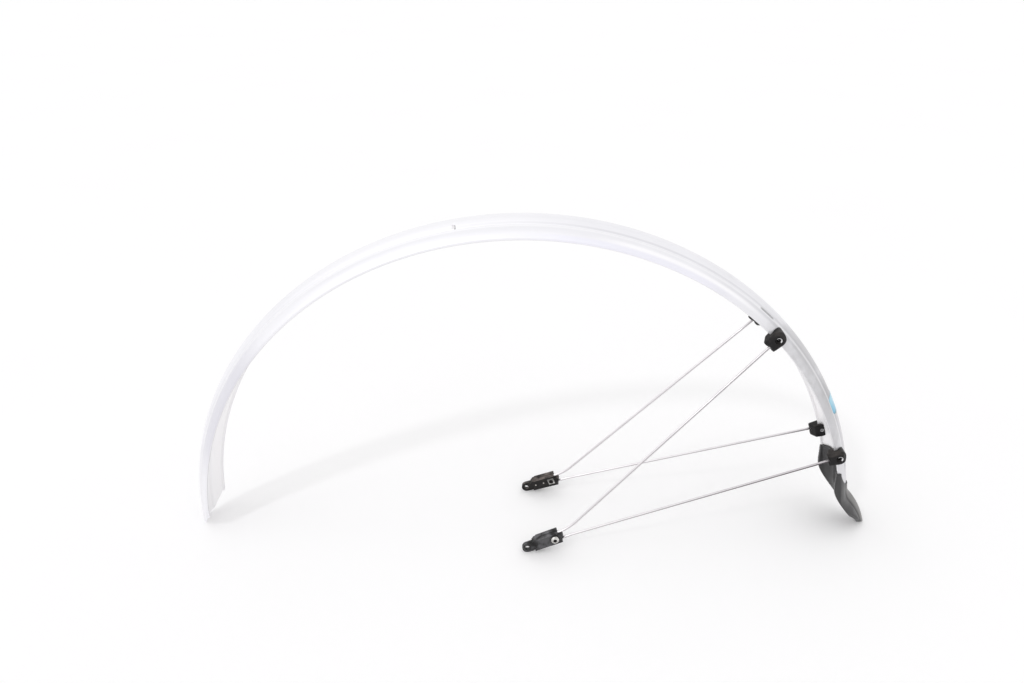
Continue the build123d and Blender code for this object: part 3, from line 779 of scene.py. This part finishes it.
def blade_section_points():
    """The section as one closed loop: the outside from left to right, then the inside back."""
    outer, inner = blade_half_section()
    outside = [(-side, height) for side, height in reversed(outer[1:])] + outer
    inside = [(-side, height) for side, height in reversed(inner[1:])] + inner
    return outside + inside[::-1]


def blade_cutter():
    """The cable slot and the four rivet holes."""
    shape = bmesh.new()
    outwards = Vector((cos(slot_angle), 0, sin(slot_angle)))
    forwards = Vector((-sin(slot_angle), 0, cos(slot_angle)))
    straight = (slot_length - slot_width) / 2
    rim = []
    for index in range(cutter_points):
        turn = 2 * pi * (index + 0.5) / cutter_points
        across = slot_width / 2 * cos(turn) + (straight if cos(turn) > 0 else -straight)
        rim.append(Vector((0, across, 0)) + forwards * (slot_width / 2 * sin(turn)))
    cut_start = 20 * mm
    cut_depth = 30 * mm
    below = on_arch(slot_angle, crown_radius - cut_start, slot_side)
    low = [shape.verts.new(below + spot) for spot in rim]
    high = [shape.verts.new(vert.co + outwards * cut_depth) for vert in low]
    shape.faces.new(low)
    shape.faces.new(high[::-1])
    for index in range(cutter_points):
        shape.faces.new((low[index - 1], low[index], high[index], high[index - 1]))
    for angle in (upper_clip, lower_clip):
        for side in (-1, 1):
            place = Matrix.Translation(on_arch(angle, rivet_radius, side * blade_half_width))
            place = place @ Matrix.Rotation(pi / 2, 4, "X")
            bmesh.ops.create_cone(shape, cap_ends=True, segments=20, radius1=rivet_hole, radius2=rivet_hole,
                                  depth=10 * mm, matrix=place)
    bmesh.ops.recalc_face_normals(shape, faces=shape.faces)
    mesh = mesh_of(shape, "blade_cutter")
    mesh.materials.append(finishes["silver_blade"])
    return shown("blade_cutter", mesh)


def make_blade():
    """The formed blade with its slot and rivet holes."""
    loop = blade_section_points()
    section_mesh = bpy.data.meshes.new("blade_section")
    section_mesh.from_pydata([(side, height, 0) for side, height in loop], [], [])
    section = bpy.data.objects.new("blade_section", section_mesh)
    sizes = {"Section": section, "Loop Points": len(loop), "Steps": blade_steps, "Rear Angle": rear_end,
             "Front Angle": front_end, "End Rounding": end_rounding, "Half Width": blade_half_width,
             "Axis": wheel_axis, "Material": finishes["silver_blade"]}
    piece = smoothed(grown("formed_blade", formed_blade_tree(), sizes), blade_crease)
    bpy.data.objects.remove(section)
    cut_by(piece, blade_cutter(), "MANIFOLD")
    piece.data.set_sharp_from_angle(angle=radians(blade_crease))
    placed(piece, "silver_blade", "blade")


def make_film():
    """The blue film laid on the crown, with round corners and a thin edge."""
    shape = bmesh.new()

    def spot(along, side, lift):
        height = crown_radius - crown_round + sqrt((crown_round + lift) ** 2 - side ** 2)
        return on_arch(film_angle + along / crown_radius, height, side)

    def sheet(lift, shrink):
        net = []
        for row in range(film_rows + 1):
            along = (film_length / 2 - shrink) * -cos(pi * row / film_rows)
            past = max(0.0, abs(along) - film_length / 2 + film_corner)
            half = film_width / 2 - shrink - film_corner + sqrt(max(film_corner ** 2 - past ** 2, 0.0))
            places = [half * (2 * column / film_columns - 1) for column in range(film_columns + 1)]
            net.append([shape.verts.new(spot(along, side, lift)) for side in places])
        for row in range(film_rows):
            for column in range(film_columns):
                shape.faces.new((net[row][column], net[row][column + 1],
                                 net[row + 1][column + 1], net[row + 1][column]))
        right = [line[-1] for line in net[1:]]
        left = [line[0] for line in net[-2:0:-1]]
        return net[0] + right + net[-1][-2::-1] + left

    top = sheet(film_thickness, film_slope)
    base = sheet(film_lift, 0.0)
    for index in range(len(top)):
        shape.faces.new((top[index - 1], top[index], base[index], base[index - 1]))
    mesh = mesh_of(shape, "blue_film")
    mesh.materials.append(finishes["blue_film"])
    placed(smoothed(shown("blue_film", mesh), crease=50), "blue_film", "blue_sticker")


def solid_copy(node, name, slot, flats_joined=False):
    """A new piece with a solid's own shape, welded, with its flat faces joined where asked."""
    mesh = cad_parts[node].data.copy()
    mesh.name = name
    mesh.materials.clear()
    mesh.materials.append(finishes[slot])
    shape = bmesh.new()
    shape.from_mesh(mesh)
    bmesh.ops.remove_doubles(shape, verts=shape.verts, dist=weld_distance)
    if flats_joined:
        bmesh.ops.dissolve_limit(shape, angle_limit=radians(1.0), verts=shape.verts, edges=shape.edges)
    shape.to_mesh(mesh)
    shape.free()
    return shown(name, mesh)


def make_flap():
    """The mud flap's own shape as one soft moulding."""
    piece = solid_copy("mud_flap", "soft_flap", "flap_rubber")
    placed(smoothed(eased(piece, flap_skin, flap_rounds), crease=80), "flap_rubber", "mud_flap")


def make_moulding(node, name, edge, dusty, cling, rounds=0):
    """A black moulding: a solid's own shape with its edges rounded, with more or less dust and painted top
    light.
    """
    piece = solid_copy(node, name, "black_plastic", flats_joined=True)
    rounded_edges(piece, edge, segments=3, crease=25)
    if rounds:
        eased(piece, clip_skin, rounds)
    point_mark(piece.data, "dusty", lambda spot: dusty)
    point_mark(piece.data, "cling", lambda spot: cling)
    placed(smoothed(piece, crease=40), "black_plastic", node)


def make_stays():
    """The four wires, each along its route from the stay end to its clip."""
    tree = bent_wire_tree()
    for hand, side in (("left", 1), ("right", -1)):
        plane = stay_plane(side)
        for level, angle, offset in (("upper", upper_clip, upper_wire_offset),
                                     ("lower", lower_clip, lower_wire_offset)):
            corners = [plane @ Vector((along, offset, 0)) for along in (channel_start, bend_start)]
            corners.append(on_arch(angle, wire_end_radius, -side * wire_side))
            line = bpy.data.curves.new(f"{hand}_{level}_route", "CURVE")
            line.dimensions = "3D"
            spline = line.splines.new("POLY")
            spline.points.add(len(corners) - 1)
            for point, corner in zip(spline.points, corners):
                point.co = (*corner, 1)
            route = bpy.data.objects.new(line.name, line)
            dim_start, dim_end = wire_dimming[hand, level]
            sizes = {"Route": route, "Bend Radius": wire_bend, "Wire Radius": wire_radius,
                     "Dull Start": dim_start, "Dull End": dim_end, "Material": finishes["stay_steel"]}
            piece = grown(f"{hand}_{level}_wire", tree, sizes)
            bpy.data.objects.remove(route)
            rounded_edges(piece, wire_tip_edge, segments=2, crease=50)
            placed(smoothed(piece, crease=60), "stay_steel", f"{hand}_{level}_stay")


def ring_skin(name, rings):
    """A closed mesh over rings of points, each joined to the next and the last to the first."""
    shape = bmesh.new()
    steps = max(len(ring) for ring in rings)
    loops = [[shape.verts.new(spot) for spot in ring] for ring in rings]
    loops = [loop if len(loop) == steps else loop * steps for loop in loops]
    for loop, following in zip(loops, loops[1:] + loops[:1]):
        for index in range(steps):
            square = (loop[index - 1], loop[index], following[index], following[index - 1])
            corners = list(dict.fromkeys(square))
            if len(corners) > 2:
                shape.faces.new(corners)
    bmesh.ops.recalc_face_normals(shape, faces=shape.faces)
    return mesh_of(shape, name)


def lathe(name, profile, facets):
    """A form turned about its own z axis from radius and height pairs in millimetres."""
    turns = [2 * pi * index / facets for index in range(facets)]
    rings = []
    for radius, height in profile:
        around = turns if radius else turns[:1]
        rings.append([Vector((radius * cos(turn), radius * sin(turn), height)) * mm for turn in around])
    return bpy.data.objects.new(name, ring_skin(name, rings))


def set_fasteners(name, form, places, slot, crease, *nodes):
    seed = bpy.data.meshes.new(f"{name}_places")
    seed.from_pydata([place.translation for place in places], [], [])
    turns = seed.attributes.new("turn", "FLOAT_VECTOR", "POINT")
    for turn, place in zip(turns.data, places):
        turn.vector = place.to_euler()
    piece = grown(name, fastener_set, {"Form": form, "Material": finishes[slot]}, seed)
    bpy.data.objects.remove(form)
    placed(smoothed(piece, crease), slot, *nodes)


def rivet_form():
    """Hollow rivet, heights from the blade's middle: a clench inside, a rolled flange and a flared bore."""
    clench = [(1.1, 21.75), (1.25, 21.6), (2.15, 21.6), (2.35, 21.75), (2.4, 22.0), (2.4, 22.3)]
    shank = [(1.75, 22.3), (1.75, 32.6)]
    flange = [(3.45, 32.6), (3.6, 32.75), (3.6, 33.3), (3.52, 33.6), (3.38, 33.8), (3.2, 33.88),
              (3.0, 33.9)]
    flare = [(2.85, 33.82), (2.7, 33.65), (2.4, 33.3), (2.0, 32.95), (1.55, 32.65), (1.3, 32.4),
             (1.15, 32.1), (1.1, 31.6)]

    def coated(spot):
        """Black coating, left bare on an arc of the flared rim as a painted reflection, and thin in the
        clenched bore.
        """
        reach = hypot(spot.x, spot.y)
        if spot.z < 31 * mm:
            return 0.85 if reach > 1.3 * mm else 0.1
        crescent_share = max(0.0, (0.64 * spot.x + 0.77 * spot.y) / reach) / 0.25
        in_rim = 2.3 * mm < reach < 3.3 * mm
        return 1.0 - min(1.0, crescent_share) * in_rim

    form = lathe("rivet_form", clench + shank + flange + flare, rivet_facets)
    point_mark(form.data, "coated", coated)
    return form


def make_rivets():
    """The four hollow rivets, each through a clip and the blade."""
    places = []
    nodes = []
    for hand, side in (("left", -1), ("right", 1)):
        for level, angle in (("upper", upper_clip), ("lower", lower_clip)):
            place = Matrix.Rotation(-side * pi / 2, 4, "X") @ Matrix.Rotation(pi * (side > 0), 4, "Z")
            place.translation = on_arch(angle, rivet_radius, 0)
            places.append(place)
            nodes.append(f"{hand}_{level}_clip_rivet")
    set_fasteners("hollow_rivets", rivet_form(), places, "rivet_metal", turned_crease, *nodes)


def screw_form():
    """Button head with a hexagon socket painted dark as shade, on a plain shank, seat at height 0."""
    head = [(0.0, 3.4), (1.6, 3.38), (2.6, 3.28), (3.4, 3.02), (4.05, 2.6), (4.5, 2.0), (4.7, 1.3),
            (4.75, 0.6), (4.72, 0.12), (4.6, 0.0)]
    shank = [(2.45, 0.0), (2.45, -9.1), (2.1, -9.5), (0.0, -9.5)]
    form = lathe("screw_form", head + shank, screw_facets)
    socket_reach = screw_drive / sqrt(3)
    shape = bmesh.new()
    bmesh.ops.create_cone(shape, cap_ends=True, segments=6, radius1=socket_reach, radius2=socket_reach,
                          depth=4 * mm, matrix=Matrix.Translation((0, 0, 3.5 * mm)))
    socket = shown("screw_socket", mesh_of(shape, "screw_socket"))
    scene.collection.objects.link(form)
    cut_by(form, socket, "EXACT")

    # Painted shade in the hexagon socket, and black at the shank's end
    def coated(spot):
        in_socket = 0 < spot.z < 3 * mm and hypot(spot.x, spot.y) < 1.02 * socket_reach
        return 1.0 if in_socket or spot.z < -9 * mm else 0.0

    point_mark(form.data, "coated", coated)
    return form


def nut_form():
    """Square nut with bevelled corners and a plain bore, its outer face at height 0."""
    half = 4 * mm
    chamfer = 0.5 * mm
    bore = 2.5 * mm
    bore_chamfer = 0.3 * mm
    points = 32
    turns = [2 * pi * index / points for index in range(points)]
    rings = []
    for reach, height in ((half - chamfer, 0.0), (half, -chamfer), (half, -nut_thickness)):
        scales = [reach / max(abs(cos(turn)), abs(sin(turn))) for turn in turns]
        rings.append([(cos(turn) * scale, sin(turn) * scale, height) for turn, scale in zip(turns, scales)])
    for reach, height in ((bore, -nut_thickness), (bore, -bore_chamfer), (bore + bore_chamfer, 0.0)):
        rings.append([(reach * cos(turn), reach * sin(turn), height) for turn in turns])
    mesh = ring_skin("nut_form", rings)
    # The nut dimmed all over, with painted shade from its pocket's wall that darkens it towards one edge
    point_mark(mesh, "coated", lambda spot: 0.3 + 0.5 * min(1.0, max(0.0, spot.y / (3 * mm))))
    return bpy.data.objects.new("nut_form", mesh)


def make_clamps():
    """The clamp screw and nut of each stay end."""
    plane = stay_plane(1)
    flip = Matrix.Diagonal((1, -1, 1, 1))
    head = plane @ Matrix.Translation((screw_along, screw_across, half_body - screw_seat))
    nut_height = nut_pocket - half_body - nut_thickness
    nut = plane @ Matrix.Translation((screw_along, screw_across, nut_height)) @ Matrix.Rotation(pi, 4, "X")
    for name, form, place, crease, node in (
        ("clamp_screws", screw_form(), head, turned_crease, "clamp_screw"),
        ("clamp_nuts", nut_form(), nut, nut_crease, "clamp_nut"),
    ):
        set_fasteners(name, form, (place, flip @ place @ flip), "clamp_steel", crease,
                      f"left_{node}", f"right_{node}")


fastener_set = fasteners_tree()
make_blade()
make_film()
make_flap()
make_stays()
make_rivets()
make_clamps()
for hand in ("left", "right"):
    make_moulding(f"{hand}_stay_end", f"{hand}_end_moulding", end_edge, end_dust_and_top_light, end_cling[hand])
    for level in ("upper", "lower"):
        where = f"{hand}_{level}"
        make_moulding(f"{where}_stay_clip", f"{where}_clip_moulding", clip_edge, clip_dust_and_top_light, 0.0, clip_rounds)


# Floor
def pale_floor():
    """Plain white floor with a slight unevenness of tone."""
    material, wiring, skin = finish("pale_floor", Roughness=0.75, Specular_IOR_Level=0.15)
    tone = wiring.noise(wiring.spot(), 3.0, detail=3.0)
    wiring.feed(skin["Base Color"], wiring.mix(tone, (0.955, 0.95, 0.955, 1), (0.975, 0.97, 0.975, 1)))
    return material


floor_reach = 16.0
floor_mesh = bpy.data.meshes.new("floor")
floor_corners = [(x * floor_reach, y * floor_reach, 0) for x, y in ((-1, -1), (1, -1), (1, 1), (-1, 1))]
floor_mesh.from_pydata(floor_corners, [], [(0, 1, 2, 3)])
floor_mesh.materials.append(pale_floor())
floor = shown("floor", floor_mesh)

# Studio light: an even glow all round, seen as white, and two soft suns from the front left
glow_strength = 0.9
suns = (("key", 0.3, 5, (-0.55, -0.62, 0.75)), ("fill", 0.35, 90, (-0.45, -0.50, 0.70)))
world = bpy.data.worlds.new("studio")
world.use_nodes = True
world.node_tree.nodes.clear()
air = Wiring(world.node_tree)
ray = air.add("ShaderNodeLightPath").outputs
seen = air.math("MAXIMUM", ray["Is Camera Ray"], ray["Is Glossy Ray"])
seen = air.math("MAXIMUM", seen, ray["Is Transmission Ray"])
glow = air.add("ShaderNodeBackground", {"Color": (1, 1, 1, 1), "Strength": glow_strength})
backdrop = air.add("ShaderNodeBackground", {"Color": (1, 1, 1, 1), "Strength": 1.0})
either = air.add("ShaderNodeMixShader", {0: seen, 1: glow.outputs[0], 2: backdrop.outputs[0]})
air.add("ShaderNodeOutputWorld", {"Surface": either.outputs[0]})
scene.world = world

for lamp_name, energy, spread, towards in suns:
    lamp_data = bpy.data.lights.new(lamp_name, "SUN")
    lamp_data.energy = energy
    lamp_data.angle = radians(spread)
    lamp = bpy.data.objects.new(lamp_name, lamp_data)
    lamp.rotation_euler = Vector(towards).to_track_quat("Z", "Y").to_euler()
    scene.collection.objects.link(lamp)

# Camera at the photograph's place
camera_down = radians(27.5)
camera_turn = radians(0.467)
camera_data = bpy.data.cameras.new("camera")
camera_data.lens = 27.158
camera_data.sensor_width = 36
camera_data.clip_start = 0.01
camera_data.clip_end = 100
camera = bpy.data.objects.new("camera", camera_data)
camera.location = Vector((-18.31, -709.31, 604.0)) * mm
camera.rotation_euler = Euler((pi / 2 - camera_down, 0, camera_turn))
scene.collection.objects.link(camera)
scene.camera = camera
scene.view_settings.view_transform = "Standard"
